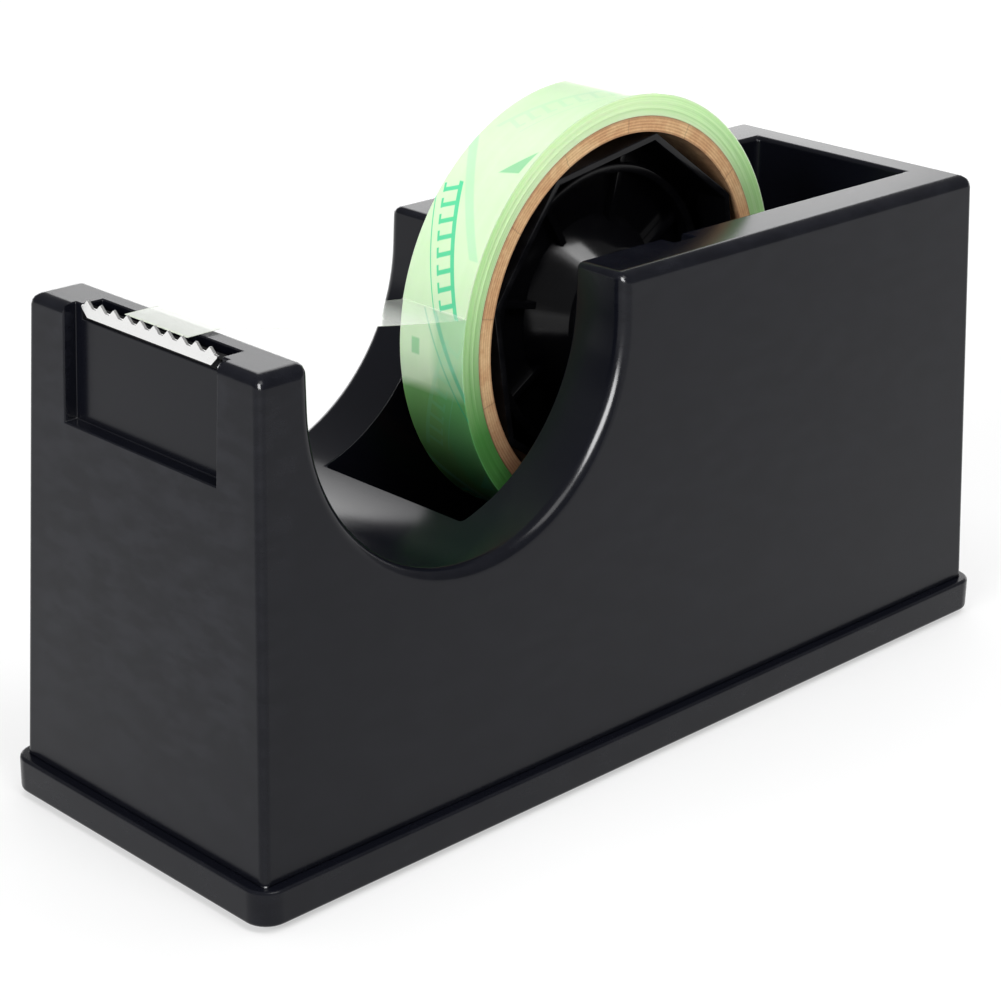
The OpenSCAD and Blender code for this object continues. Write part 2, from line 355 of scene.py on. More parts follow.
def prism(name, outline, low, high, along="y"):
    """A closed prism along x or y, from an outline in the other two axes."""
    if along == "x":
        loops = [[(level, u, v) for u, v in outline] for level in (low, high)]
    else:
        loops = [[(u, level, v) for u, v in outline] for level in (low, high)]
    return skinned(name, loops)


def rectangle(u0, v0, u1, v1):
    return [(u0, v0), (u1, v0), (u1, v1), (u0, v1)]


def rounded_loop(half_x, half_y, radius, z, steps=8):
    """A level rounded rectangle round the origin, anticlockwise."""
    points = []
    for quarter, (sx, sy) in enumerate([(1, 1), (-1, 1), (-1, -1), (1, -1)]):
        cx, cy = sx * (half_x - radius), sy * (half_y - radius)
        for i in range(steps + 1):
            angle = TAU / 4 * (quarter + i / steps)
            points.append((cx + radius * math.cos(angle), cy + radius * math.sin(angle), z))
    return points


# ------------------------ shader tools


class Graph:
    """A material's node tree, with short calls for the nodes used here."""

    def __init__(self, name):
        self.material = bpy.data.materials.new(name)
        self.material.use_nodes = True
        self.nodes = self.material.node_tree.nodes
        self.links = self.material.node_tree.links
        self.shader = self.nodes["Principled BSDF"]
        self.place = self.nodes.new("ShaderNodeTexCoord").outputs["Object"]

    def put(self, socket, value):
        if isinstance(value, bpy.types.NodeSocket):
            self.links.new(value, socket)
        elif socket.type == "RGBA":
            socket.default_value = (*value, 1.0)
        else:
            socket.default_value = value

    def set(self, **values):
        """Values on the shader's own sockets, such as roughness=0.4 or base_color=(...)."""
        for key, value in values.items():
            name = key.replace("_", " ").title().replace("Ior", "IOR")
            self.put(self.shader.inputs[name], value)

    def math(self, operation, a, b=0.0, c=0.0, clamp=False):
        node = self.nodes.new("ShaderNodeMath")
        node.operation = operation
        node.use_clamp = clamp
        for socket, value in zip(node.inputs, (a, b, c)):
            self.put(socket, value)
        return node.outputs[0]

    def times(self, a, b):
        return self.math("MULTIPLY", a, b)

    def minus(self, a, b):
        return self.math("SUBTRACT", a, b)

    def scaled(self, factors):
        """Object coordinates in millimetres, times three factors."""
        node = self.nodes.new("ShaderNodeVectorMath")
        node.operation = "MULTIPLY"
        self.links.new(self.place, node.inputs[0])
        node.inputs[1].default_value = [f / MM for f in factors]
        return node.outputs[0]

    def vector(self, x=0.0, y=0.0, z=0.0):
        node = self.nodes.new("ShaderNodeCombineXYZ")
        for socket, value in zip(node.inputs, (x, y, z)):
            self.put(socket, value)
        return node.outputs[0]

    def noise(self, scale, detail=3.0, roughness=0.5, stretch=(1, 1, 1), place=None):
        """Noise with the given number of features per millimetre."""
        node = self.nodes.new("ShaderNodeTexNoise")
        self.links.new(place or self.scaled(stretch), node.inputs["Vector"])
        node.inputs["Scale"].default_value = scale
        node.inputs["Detail"].default_value = detail
        node.inputs["Roughness"].default_value = roughness
        return node.outputs["Fac"]

    def ramp(self, value, stops):
        """A colour ramp with stops of (place, grey level or colour)."""
        node = self.nodes.new("ShaderNodeValToRGB")
        self.put(node.inputs["Fac"], value)
        elements = node.color_ramp.elements
        while len(elements) < len(stops):
            elements.new(0.5)
        for element, (place, colour) in zip(elements, stops):
            element.position = place
            if not isinstance(colour, tuple):
                colour = (colour, colour, colour)
            element.color = (*colour, 1.0)
        return node.outputs["Color"]

    def mix(self, factor, a, b, blend="MIX"):
        """A colour mix of a and b."""
        node = self.nodes.new("ShaderNodeMix")
        node.data_type = "RGBA"
        node.blend_type = blend
        self.put(node.inputs["Factor"], factor)
        for name, value in (("A", a), ("B", b)):
            socket = [s for s in node.inputs if s.name == name and s.type == "RGBA"][0]
            self.put(socket, value)
        return [s for s in node.outputs if s.type == "RGBA"][0]

    def bump(self, height, strength, distance, normal=None):
        """A bump from a height field; distance in millimetres."""
        node = self.nodes.new("ShaderNodeBump")
        node.inputs["Strength"].default_value = strength
        node.inputs["Distance"].default_value = distance * MM
        self.links.new(height, node.inputs["Height"])
        if normal is not None:
            self.links.new(normal, node.inputs["Normal"])
        self.links.new(node.outputs["Normal"], self.shader.inputs["Normal"])
        return node.outputs["Normal"]


def moulded_plastic(name, colour, rough_low, rough_high, grain, wear=0.3, specular=0.5):
    """Injection-moulded plastic: fine spark grain, uneven gloss and paler worn edges."""
    g = Graph(name)
    broad = g.noise(0.035, 4, 0.55)
    fine = g.noise(2.4, 2, 0.6)
    smear = g.noise(0.12, 5, 0.65, (1, 1, 2.5))
    pointiness = g.nodes.new("ShaderNodeNewGeometry").outputs["Pointiness"]
    edge = g.ramp(pointiness, [(0.515, 0.0), (0.56, 1.0)])
    edge = g.times(edge, g.ramp(smear, [(0.42, 0.0), (0.62, 1.0)]))
    paler = tuple(min(c * 2.6 + 0.012, 1) for c in colour)
    body = g.mix(broad, tuple(c * 0.86 for c in colour), tuple(c * 1.14 for c in colour))
    g.set(base_color=g.mix(g.times(edge, wear), body, paler))
    gloss = g.ramp(smear, [(0.3, rough_low), (0.75, rough_high)])
    g.set(roughness=gloss, specular_ior_level=specular)
    g.bump(fine, grain, 0.02)
    return g.material


def steel(name, colour, roughness, along):
    """Ground steel: fine scratches along one axis and slight unevenness of gloss."""
    g = Graph(name)
    stretch = tuple(0.06 if i == along else 3.0 for i in range(3))
    lines = g.noise(1.6, 4, 0.6, stretch)
    cloud = g.noise(0.4, 3, 0.5)
    g.set(base_color=g.mix(lines, tuple(c * 0.9 for c in colour), colour), metallic=1.0)
    g.set(roughness=g.ramp(cloud, [(0.3, roughness * 0.8), (0.7, roughness * 1.25)]))
    g.bump(lines, 0.25, 0.01)
    return g.material


def rubber(name):
    """Matt black rubber with a fine grain."""
    g = Graph(name)
    grain = g.noise(3.0, 3, 0.7)
    g.set(base_color=g.mix(g.noise(0.3), (0.010, 0.010, 0.010), (0.022, 0.022, 0.022)))
    g.set(roughness=0.85, specular_ior_level=0.3)
    g.bump(grain, 0.5, 0.05)
    return g.material


def cement(name):
    """Cast cement with sand grains and pores."""
    g = Graph(name)
    sand = g.noise(1.1, 6, 0.75)
    g.set(base_color=g.mix(sand, (0.24, 0.235, 0.22), (0.46, 0.45, 0.42)), roughness=0.95)
    g.bump(sand, 0.6, 0.3)
    return g.material


def foam(name):
    """Closed-cell foam sheet."""
    g = Graph(name)
    cells = g.noise(2.0, 4, 0.8)
    g.set(base_color=g.mix(cells, (0.03, 0.03, 0.03), (0.08, 0.08, 0.08)), roughness=0.95)
    g.bump(cells, 0.6, 0.1)
    return g.material


def band(g, value, centre, half, soft=0.12):
    """1 where value is within half of centre, with soft edges."""
    off = g.math("ABSOLUTE", g.minus(value, centre))
    return g.math("DIVIDE", g.minus(half, off), soft, clamp=True)


def step(g, value, edge, soft=0.3):
    """0 below the edge and 1 above it, with a soft change."""
    return g.math("DIVIDE", g.minus(value, edge), soft, clamp=True)


def line(g, u, v, slope, offset):
    """How far v is above the line offset + slope * u."""
    return g.minus(g.minus(v, offset), g.times(u, slope))


def every(g, masks, operation="MULTIPLY"):
    """Several masks combined into one."""
    result = masks[0]
    for mask in masks[1:]:
        result = g.math(operation, result, mask)
    return result


def roll_coordinates(g):
    """Millimetres along the outside from the front, upwards; the radius; and the place across."""
    parts = g.nodes.new("ShaderNodeSeparateXYZ")
    g.links.new(g.scaled((1, 1, 1)), parts.inputs[0])
    x = g.minus(ROLL_X, parts.outputs["X"])
    z = g.minus(parts.outputs["Z"], ROLL_Z)
    turn = g.times(g.math("ARCTAN2", z, x), ROLL_RADIUS)
    radius = g.math("SQRT", g.math("ADD", g.times(x, x), g.times(z, z)))
    return turn, radius, parts.outputs["Y"]


def lower_front(g, turn, start, soft):
    """1 on the roll's lower front, from so far below its middle, and 0 on its underside."""
    down = step(g, g.times(turn, -1), start, soft)
    return g.times(down, step(g, turn, -62, 9))


def cardboard(name):
    """Wound paperboard: plies on the cut faces, a spiral seam and fibres on the round ones, and
    painted shade on the lower front.
    """
    g = Graph(name)
    turn, radius, along = roll_coordinates(g)
    plies = g.math("SINE", g.times(radius, TAU / 0.62))
    fibres = g.noise(1.3, 5, 0.7)
    spiral = g.math("ADD", g.times(turn, 0.3), along)
    seam = g.math("SINE", g.times(spiral, 0.5))
    seam = g.ramp(g.math("ABSOLUTE", seam), [(0.0, 0.0), (0.04, 1.0)])
    paper = g.mix(fibres, (0.61, 0.36, 0.17), (0.92, 0.68, 0.39))
    ply = g.ramp(g.math("MULTIPLY_ADD", plies, 0.5, 0.5), [(0.1, (0.60, 0.47, 0.40)), (0.7, 1.0)])
    paper = g.mix(g.times(g.noise(0.5, 3, 0.6), 0.7), paper, ply, "MULTIPLY")
    stain = g.ramp(g.noise(0.16, 4, 0.65), [(0.4, (0.74, 0.55, 0.50)), (0.62, 1.0)])
    paper = g.mix(0.6, paper, stain, "MULTIPLY")
    # painted shade: the core turns dark brown on its lower front, where the well shades it
    painted_shade = lower_front(g, turn, 4, 28)
    paper = g.mix(g.times(painted_shade, 0.7), paper, (0.20, 0.09, 0.05))
    middle = (CORE_INNER + CORE_OUTER) / 2
    rim = step(g, g.math("ABSOLUTE", g.minus(radius, middle)), 1.15, 0.4)
    rim = g.times(rim, g.math("MULTIPLY_ADD", g.noise(0.4, 3, 0.6), 0.8, 0.2))
    paper = g.mix(rim, paper, (0.24, 0.12, 0.07))
    g.set(base_color=g.mix(0.3, paper, seam, "MULTIPLY"), roughness=0.9)
    g.set(specular_ior_level=0.25)
    g.bump(g.math("ADD", fibres, g.times(plies, 0.35)), 0.5, 0.12)
    return g.material


def ladder(g, turn, along):
    """A slanting ladder of small boxes between a strong rail and a thin one."""
    slope, pitch = 0.415, 3.8
    across = line(g, turn, along, slope, -6.9)
    inside = g.times(step(g, turn, 8), step(g, g.minus(35, turn), 0))
    strong = band(g, across, -2.9, 0.6)
    thin = band(g, across, 3.2, 0.2)
    along_band = g.math("ADD", turn, g.times(along, slope))
    place = g.math("FRACT", g.math("DIVIDE", along_band, pitch))
    rungs = g.times(band(g, across, -0.6, 2.0), band(g, place, 0.3, 0.17, 0.06))
    ties = g.times(band(g, across, 1.2, 0.35), band(g, place, 0.45, 0.34, 0.06))
    return g.times(every(g, [strong, thin, rungs, ties], "MAXIMUM"), inside)


def slant_stripe(g, turn, along):
    """A pale stripe that slants more steeply than the ladder."""
    across = line(g, turn, along, 0.665, -20.76)
    inside = g.times(step(g, turn, 20), step(g, g.minus(46, turn), 0))
    return g.times(band(g, across, 0, 1.4, 0.4), inside)


def small_triangle(g, turn, along):
    """A small triangle between three slanting lines."""
    left = step(g, g.minus(turn, g.math("MULTIPLY_ADD", along, -0.2, 38.0)), 0)
    low = step(g, line(g, turn, along, -0.12, -2.9), 0)
    high = step(g, g.times(line(g, turn, along, -0.8, 28.4), -1), 0)
    return every(g, [left, low, high])


def printed_film(g, turn, along):
    """The outside's colour: pale green film with painted shade low down, under plain translucent
    marks.
    """
    repeat, first = ROLL_RADIUS * TAU / 4, -20.0
    place = g.math("WRAP", turn, repeat + first, first)
    ghost_place = g.math("WRAP", g.math("ADD", turn, 31), repeat + first, first)
    streak = g.noise(0.5, 3, 0.5, place=g.vector(g.times(turn, 0.08), along))
    # painted shade: the film turns dark green low on the front, where the well shades it
    lower = lower_front(g, turn, 6.5, 2.5)
    below = lower_front(g, turn, -9, 0.4)
    near = g.times(step(g, g.times(along, -1), -0.5, 2.5), below)
    wide = g.times(band(g, line(g, turn, along, 0.55, -5.0), 0, 0.8, 0.4), below)
    thin = g.times(band(g, line(g, turn, along, 0.55, -2.2), 0, 0.4, 0.4), below)
    square = g.times(band(g, turn, 0.6, 1.9, 0.4), band(g, along, 4.4, 1.3, 0.4))

    film = g.mix(g.noise(0.06, 4, 0.55), (0.50, 0.74, 0.42), (0.66, 0.84, 0.56))
    for mask, strength, colour in (
        (streak, 0.25, (0.80, 0.90, 0.76)),
        (lower, 0.82, (0.08, 0.33, 0.05)),
        (near, 0.5, (0.12, 0.46, 0.17)),
        (g.math("MAXIMUM", wide, thin), 0.6, (0.02, 0.42, 0.24)),
        (square, 0.6, (0.10, 0.50, 0.18)),
        (ladder(g, ghost_place, g.times(along, -1)), 0.16, (0.20, 0.66, 0.42)),
        (slant_stripe(g, place, along), 0.4, (0.28, 0.70, 0.42)),
        (small_triangle(g, place, along), 0.65, (0.13, 0.50, 0.24)),
        (ladder(g, place, along), 0.9, (0.05, 0.60, 0.30)),
    ):
        film = g.mix(g.times(mask, strength), film, colour)
    return film


def wound_face(g, turn, radius):
    """The cut faces' colour, with painted shade low down and at the rear and a painted highlight
    on top, and the fine rings in it as a height.
    """
    rings = g.noise(2.8, 3, 0.65, place=g.vector(radius, g.times(turn, 0.004)))
    face = g.mix(g.ramp(rings, [(0.3, 0.0), (0.7, 1.0)]), (0.38, 0.74, 0.27), (0.72, 0.97, 0.54))
    # painted shade: the faces darker towards the rear and on the lower front, where the housing
    # shades them
    rear = g.times(step(g, turn, 96, 30), 0.35)
    painted_shade = g.math("MAXIMUM", lower_front(g, turn, -16, 34), rear)
    face = g.mix(g.times(painted_shade, 0.94), face, (0.05, 0.24, 0.04))
    # painted highlight: the faces paler on top, where the overhead light falls
    painted_top_highlight = g.times(band(g, turn, 58, 40, 25), 0.5)
    return g.mix(painted_top_highlight, face, (0.82, 1.0, 0.62)), rings


def wound_tape(name):
    """Layers of clear green film: glossy outside, fine rings on the faces, plain marks."""
    g = Graph(name)
    turn, radius, along = roll_coordinates(g)
    outside = step(g, radius, ROLL_RADIUS - 0.35, 0.12)
    film = printed_film(g, turn, along)
    face, rings = wound_face(g, turn, radius)
    g.set(base_color=g.mix(outside, face, film))
    gloss = g.math("MULTIPLY_ADD", outside, -0.24, 0.44)
    g.set(roughness=gloss, subsurface_weight=0.35, subsurface_scale=0.003)
    g.set(subsurface_radius=(0.7, 1.0, 0.5), coat_weight=0.35, coat_roughness=0.08)
    g.bump(rings, 0.3, 0.05)
    return g.material


def clear_film(name, alpha):
    """Clear film that shows most at its edges, and less towards the roll than at the cutter."""
    g = Graph(name)
    along = g.nodes.new("ShaderNodeSeparateXYZ")
    g.links.new(g.scaled((1, 1, 1)), along.inputs[0])
    haze = g.noise(0.25, 4, 0.6, (0.4, 1, 1))
    rim = g.nodes.new("ShaderNodeLayerWeight")
    rim.inputs["Blend"].default_value = 0.35
    edge = step(g, g.math("ABSOLUTE", along.outputs["Y"]), HALF_TAPE - 0.22, 0.1)
    tip = step(g, g.times(along.outputs["X"], -1), 95.9, 0.3)
    bold = g.math("MAXIMUM", edge, tip)
    thick = g.math("MULTIPLY_ADD", rim.outputs["Facing"], 0.12, alpha)
    thick = g.math("ADD", thick, g.times(haze, 0.05))
    thick = g.math("ADD", thick, g.times(bold, 0.3), clamp=True)
    free = step(g, g.times(along.outputs["X"], -1), 34, 14)
    thick = g.times(thick, g.math("MULTIPLY_ADD", free, 0.75, 0.25))
    g.set(base_color=g.mix(bold, (0.82, 0.84, 0.80), (0.60, 0.64, 0.55)), alpha=thick)
    g.set(roughness=0.08, specular_ior_level=0.6)
    g.bump(haze, 0.2, 0.15)
    return g.material


# ------------------------ housing


def half_length_at(z):
    return HALF_LENGTH + (TOP - z) * END_SLOPE


def half_width_at(z):
    return HALF_WIDTH + (TOP - z) * SIDE_SLOPE


def well_half_at(z):
    return WELL_HALF - (TOP - z) * WELL_SLOPE


PLAIN_ROUNDING = 0.3
ROUNDING = {
    frozenset(kinds.split()): radius for kinds, radius in (
        ("side end", 1.7), ("side rim", 2.7), ("end rim", 2.2), ("side cut", 2.6),
        ("cut rim", 1.5), ("well rim", 1.0), ("well", 1.6), ("recess end", 0.35),
        ("recess rim", 0.35), ("recess", 0.2), ("groove rim", 0.35), ("slot rim", 0.35),
        ("slot well", 0.35),
    )
}


def mark_bevels(obj, names):
    """Sets each sharp edge's bevel weight from the kinds of the two faces that meet there."""
    widest = max(ROUNDING.values())
    bm = bmesh.new()
    bm.from_mesh(obj.data)
    bmesh.ops.recalc_face_normals(bm, faces=bm.faces)
    kind = bm.faces.layers.int["kind"]
    weight = bm.edges.layers.float.new("bevel_weight_edge")
    for edge in bm.edges:
        if len(edge.link_faces) != 2 or edge.calc_face_angle(0) < math.radians(20):
            continue
        pair = frozenset(names[f[kind]] for f in edge.link_faces)
        edge[weight] = ROUNDING.get(pair, PLAIN_ROUNDING) / widest
    bm.to_mesh(obj.data)
    bm.free()
    bevel = obj.modifiers.new("round", "BEVEL")
    bevel.width = widest * MM
    bevel.segments = 4
    bevel.limit_method = "WEIGHT"
    bevel.use_clamp_overlap = False
    bevel.miter_outer = "MITER_SHARP"
    return apply_modifiers(obj)


def on_side(x, z, side):
    return (x, side * half_width_at(z), z)


def on_well(x, z, side):
    return (x, side * well_half_at(z), z)


def on_front(y, z, depth=0.0):
    return (depth - half_length_at(z), y, z)


def skin_sides(shell):
    """Both sides with the cut-out, and the well with the axle slots in its side walls."""
    crossing = -math.acos((WELL_FRONT - CUT_X) / CUT_RADIUS)
    front_arc = arc(CUT_X, CUT_Z, CUT_RADIUS, -math.pi, crossing, 38)
    rear_arc = arc(CUT_X, CUT_Z, CUT_RADIUS, crossing, 0, 28)
    front_cut = [(CUT_X - CUT_RADIUS, TOP)] + front_arc
    rear_cut = rear_arc + [(CUT_X + CUT_RADIUS, TOP)]
    cut = front_cut + rear_cut[1:]
    low, high = half_length_at(BASE_HEIGHT), HALF_LENGTH

    slot_arc = arc(ROLL_X, ROLL_Z, SLOT_HALF, -math.pi, 0, 12)
    slot_line = [(ROLL_X - SLOT_HALF, TOP)] + slot_arc + [(ROLL_X + SLOT_HALF, TOP)]
    corner_z = WELL_FLOOR + WELL_CORNER
    floor_rear = arc(WELL_REAR - WELL_CORNER, corner_z, WELL_CORNER, 0, -math.pi / 2, 8)
    floor_front = arc(
        WELL_FRONT + WELL_CORNER, corner_z, WELL_CORNER, -math.pi / 2, -math.pi, 8)
    well_line = floor_rear + floor_front

    for side in (-1, 1):
        outline = [(-low, BASE_HEIGHT), (-high, TOP)] + cut + [(high, TOP), (low, BASE_HEIGHT)]
        shell.face("side", [on_side(x, z, side) for x, z in outline])
        outline = rear_cut + slot_line + [(WELL_REAR, TOP)] + well_line
        shell.face("well", [on_well(x, z, side) for x, z in outline])
        for (xa, za), (xb, zb) in zip(rear_cut, rear_cut[1:]):
            shell.face("cut", [
                on_side(xa, za, side), on_side(xb, zb, side),
                on_well(xb, zb, side), on_well(xa, za, side),
            ])
        end_wall = [(x, side * SLOT_REACH, z) for x, z in slot_line]
        shell.face("slot", end_wall)
        for (xa, za), (xb, zb) in zip(slot_line, slot_line[1:]):
            shell.face("slot", [
                on_well(xa, za, side), on_well(xb, zb, side),
                (xb, side * SLOT_REACH, zb), (xa, side * SLOT_REACH, za),
            ])

    for (xa, za), (xb, zb) in zip(front_cut, front_cut[1:]):
        quad = [on_side(xa, za, -1), on_side(xa, za, 1), on_side(xb, zb, 1)]
        if (xb, zb) == front_cut[-1]:
            quad += [on_well(xb, zb, 1), on_well(xb, zb, -1)]
        shell.face("cut", quad + [on_side(xb, zb, -1)])

    # the well's front wall, floor and rear wall, as one strip across its width
    strip = [(WELL_REAR, TOP)] + well_line + [rear_arc[0]]
    for (xa, za), (xb, zb) in zip(strip, strip[1:]):
        shell.face("well", [
            on_well(xa, za, -1), on_well(xa, za, 1), on_well(xb, zb, 1), on_well(xb, zb, -1)
        ])


def skin_front(shell):
    """The front face, with the recess and the blade insert's groove let into it."""
    r, g, d = RECESS_HALF, GROOVE_HALF, RECESS_DEPTH
    foot_half = half_width_at(BASE_HEIGHT)
    shell.face("end", [
        on_front(-foot_half, BASE_HEIGHT), on_front(foot_half, BASE_HEIGHT),
        on_front(HALF_WIDTH, TOP), on_front(r, TOP), on_front(r, RECESS_BOTTOM),
        on_front(-r, RECESS_BOTTOM), on_front(-r, TOP), on_front(-HALF_WIDTH, TOP),
    ])
    shell.face("recess", [
        on_front(-r, RECESS_BOTTOM), on_front(r, RECESS_BOTTOM),
        on_front(r, RECESS_BOTTOM, d), on_front(-r, RECESS_BOTTOM, d),
    ])
    shell.face("recess", [
        on_front(-r, RECESS_BOTTOM, d), on_front(r, RECESS_BOTTOM, d), on_front(r, TOP, d),
        on_front(g, TOP, d), on_front(g, NOSE_BOTTOM, d), on_front(-g, NOSE_BOTTOM, d),
        on_front(-g, TOP, d), on_front(-r, TOP, d),
    ])
    seat = on_front(0, NOSE_BOTTOM, d)[0]
    groove = [(seat, NOSE_BOTTOM), (GROOVE_FRONT, NOSE_BOTTOM), (GROOVE_FRONT, GROOVE_FLOOR),
              (GROOVE_REAR, GROOVE_FLOOR), (GROOVE_REAR, TOP)]
    for (xa, za), (xb, zb) in zip(groove, groove[1:]):
        shell.face("groove", [(xa, -g, za), (xa, g, za), (xb, g, zb), (xb, -g, zb)])
    for side in (-1, 1):
        shell.face("recess", [
            on_front(side * r, RECESS_BOTTOM), on_front(side * r, TOP),
            on_front(side * r, TOP, d), on_front(side * r, RECESS_BOTTOM, d),
        ])
        ends = groove + [(d - HALF_LENGTH, TOP)]
        shell.face("groove", [(x, side * g, z) for x, z in ends])


def skin_rest(shell):
    """The rims of the front column and of the well, the rear face and the underside."""
    r, g, d = RECESS_HALF, GROOVE_HALF, RECESS_DEPTH
    column_rear, well_rim = CUT_X - CUT_RADIUS, CUT_X + CUT_RADIUS
    shell.face("rim", [
        on_front(-HALF_WIDTH, TOP), on_front(-r, TOP), on_front(-r, TOP, d),
        on_front(-g, TOP, d), (GROOVE_REAR, -g, TOP), (GROOVE_REAR, g, TOP),
        on_front(g, TOP, d), on_front(r, TOP, d), on_front(r, TOP), on_front(HALF_WIDTH, TOP),
        (column_rear, HALF_WIDTH, TOP), (column_rear, -HALF_WIDTH, TOP),
    ])

    def rim_side(side):
        return [
            (x, side * y, TOP) for x, y in (
                (well_rim, WELL_HALF), (ROLL_X - SLOT_HALF, WELL_HALF),
                (ROLL_X - SLOT_HALF, SLOT_REACH), (ROLL_X + SLOT_HALF, SLOT_REACH),
                (ROLL_X + SLOT_HALF, WELL_HALF), (WELL_REAR, WELL_HALF),
            )
        ]

    low, high, foot_half = half_length_at(BASE_HEIGHT), HALF_LENGTH, half_width_at(BASE_HEIGHT)
    shell.face("rim", [
        (well_rim, -HALF_WIDTH, TOP), (high, -HALF_WIDTH, TOP),
        (high, HALF_WIDTH, TOP), (well_rim, HALF_WIDTH, TOP),
    ] + rim_side(1) + rim_side(-1)[::-1])
    shell.face("end", [
        (low, -foot_half, BASE_HEIGHT), (low, foot_half, BASE_HEIGHT),
        (high, HALF_WIDTH, TOP), (high, -HALF_WIDTH, TOP),
    ])
    shell.face("foot", [
        (sx * low, sy * foot_half, BASE_HEIGHT)
        for sx, sy in ((-1, -1), (1, -1), (1, 1), (-1, 1))
    ])


def housing_skin():
    """The housing's closed outer skin, with its edges rounded."""
    shell = Shell()
    skin_sides(shell)
    skin_front(shell)
    skin_rest(shell)
    return mark_bevels(*shell.build("housing"))


housing_plastic = moulded_plastic(
    "housing plastic", (0.0036, 0.0040, 0.0068), 0.20, 0.225, 0.03, specular=0.185)
housing = smooth(housing_skin())
finish_piece(housing, "housing", housing_plastic, ["housing_shell"])

# ------------------------ base plate, feet, screws and ballast


def base_tray():
    """The tray under the housing: rounded ledge, upstanding rib, sockets and counterbores."""
    lower, upper, chamfer, rib = 0.8, 0.7, 0.25, 1.5

    def loop(inset, z):
        return rounded_loop(
            BASE_HALF_LENGTH - inset, BASE_HALF_WIDTH - inset, BASE_CORNER - inset, z)

    def rib_loop(inset, z):
        return rounded_loop(
            RIB_HALF_LENGTH - inset, RIB_HALF_WIDTH - inset, RIB_CORNER - inset, z)

    quarter = [TAU / 4 * i / 4 for i in range(5)]
    loops = [loop(lower * (1 - math.sin(a)), BASE_BOTTOM + lower * (1 - math.cos(a)))
             for a in quarter]
    loops += [loop(upper * (1 - math.cos(a)), BASE_HEIGHT - upper * (1 - math.sin(a)))
              for a in quarter]
    loops += [rib_loop(0, BASE_HEIGHT), rib_loop(0, RIB_TOP - chamfer), rib_loop(chamfer, RIB_TOP)]
    loops += [rib_loop(rib - chamfer, RIB_TOP), rib_loop(rib, RIB_TOP - chamfer)]
    loops += [rib_loop(rib, BASE_FLOOR_TOP)]
    tray = skinned("base_tray", loops)
    cuts = [
        disc("cut", radius, -1, top, place)
        for places, radius, top in (
            (FOOT_PLACES.values(), FOOT_RADIUS + SEAT, FOOT_TOP),
            (SCREW_PLACES, COUNTERBORE_RADIUS, SCREW_SEAT),
        )
        for place in places
    ]
    combine(tray, merged("cuts", cuts), "DIFFERENCE")
    holes = [disc("hole", SCREW_HOLE_RADIUS, 0, 20, place, 32) for place in SCREW_PLACES]
    return combine(tray, merged("holes", holes), "DIFFERENCE")


def rubber_foot(name, place):
    """A domed foot with a moulded groove round its underside."""
    groove, depth, dome = 2.3, 0.35, 1.2
    profile = [
        (PIN, 0), (groove - 0.4, 0), (groove - 0.2, depth), (groove + 0.2, depth),
        (groove + 0.4, 0), (FOOT_RADIUS - 0.9, 0), (FOOT_RADIUS - 0.35, 0.2),
        (FOOT_RADIUS - 0.08, dome / 2), (FOOT_RADIUS, dome), (FOOT_RADIUS, FOOT_TOP),
        (PIN, FOOT_TOP),
    ]
    return turned_upright(name, profile, place)


def base_screw(place):
    """A pan-head screw with a cross recess and a ridged shank."""
    bottom, top = BASE_BOTTOM + 0.2, SCREW_SEAT
    head, root, thread, pitch = 3.0, 1.02, 1.24, 1.0
    profile = [(PIN, bottom), (1.9, bottom), (2.6, bottom + 0.25), (2.92, bottom + 0.65),
               (head, bottom + 1.1), (head, top), (1.2, top)]
    z = top + pitch
    while z < SCREW_TIP - 1.5:
        profile += [(root, z), (thread, z + 0.4 * pitch), (root, z + 0.8 * pitch)]
        z += pitch
    profile += [(0.3, SCREW_TIP - 0.1), (PIN, SCREW_TIP)]
    screw = turned_upright("screw", profile, place, 48)
    x, y = place
    length, width, depth = 1.8, 0.35, 0.9
    for half_x, half_y in ((length, width), (width, length)):
        outline = rectangle(x - half_x, bottom - 1, x + half_x, bottom + depth)
        combine(screw, prism("slot", outline, y - half_y, y + half_y), "DIFFERENCE")
    return screw


def keep_node(node, material, width):
    """Shows a CAD node with its edges slightly rounded and a finished material."""
    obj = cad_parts[node]
    obj.data.materials.clear()
    obj.data.materials.append(material)
    bevel = obj.modifiers.new("round", "BEVEL")
    bevel.width = width * MM
    bevel.segments = 2
    bevel.limit_method = "ANGLE"
    bevel.angle_limit = math.radians(50)


base_plastic = moulded_plastic(
    "base plastic", (0.0036, 0.0040, 0.0068), 0.22, 0.30, 0.12, specular=0.185)
finish_piece(smooth(base_tray()), "housing", base_plastic, ["base_plate"])

foot_rubber = rubber("foot rubber")
for node, place in FOOT_PLACES.items():
    foot = smooth(rubber_foot(node.replace("foot", "rubber"), place))
    finish_piece(foot, "housing", foot_rubber, [node])

zinc = steel("zinc plated steel", (0.62, 0.63, 0.66), 0.34, 0)
screws = smooth(merged("screws", [base_screw(place) for place in SCREW_PLACES]))
finish_piece(screws, "housing", zinc, ["base_screws"])

cast_cement = cement("cast cement")
pad_foam = foam("pad foam")
for end in ("front", "rear"):
    keep_node(f"ballast_{end}", cast_cement, 0.8)
    keep_node(f"ballast_pad_{end}", pad_foam, 0.2)

# ------------------------ cutter


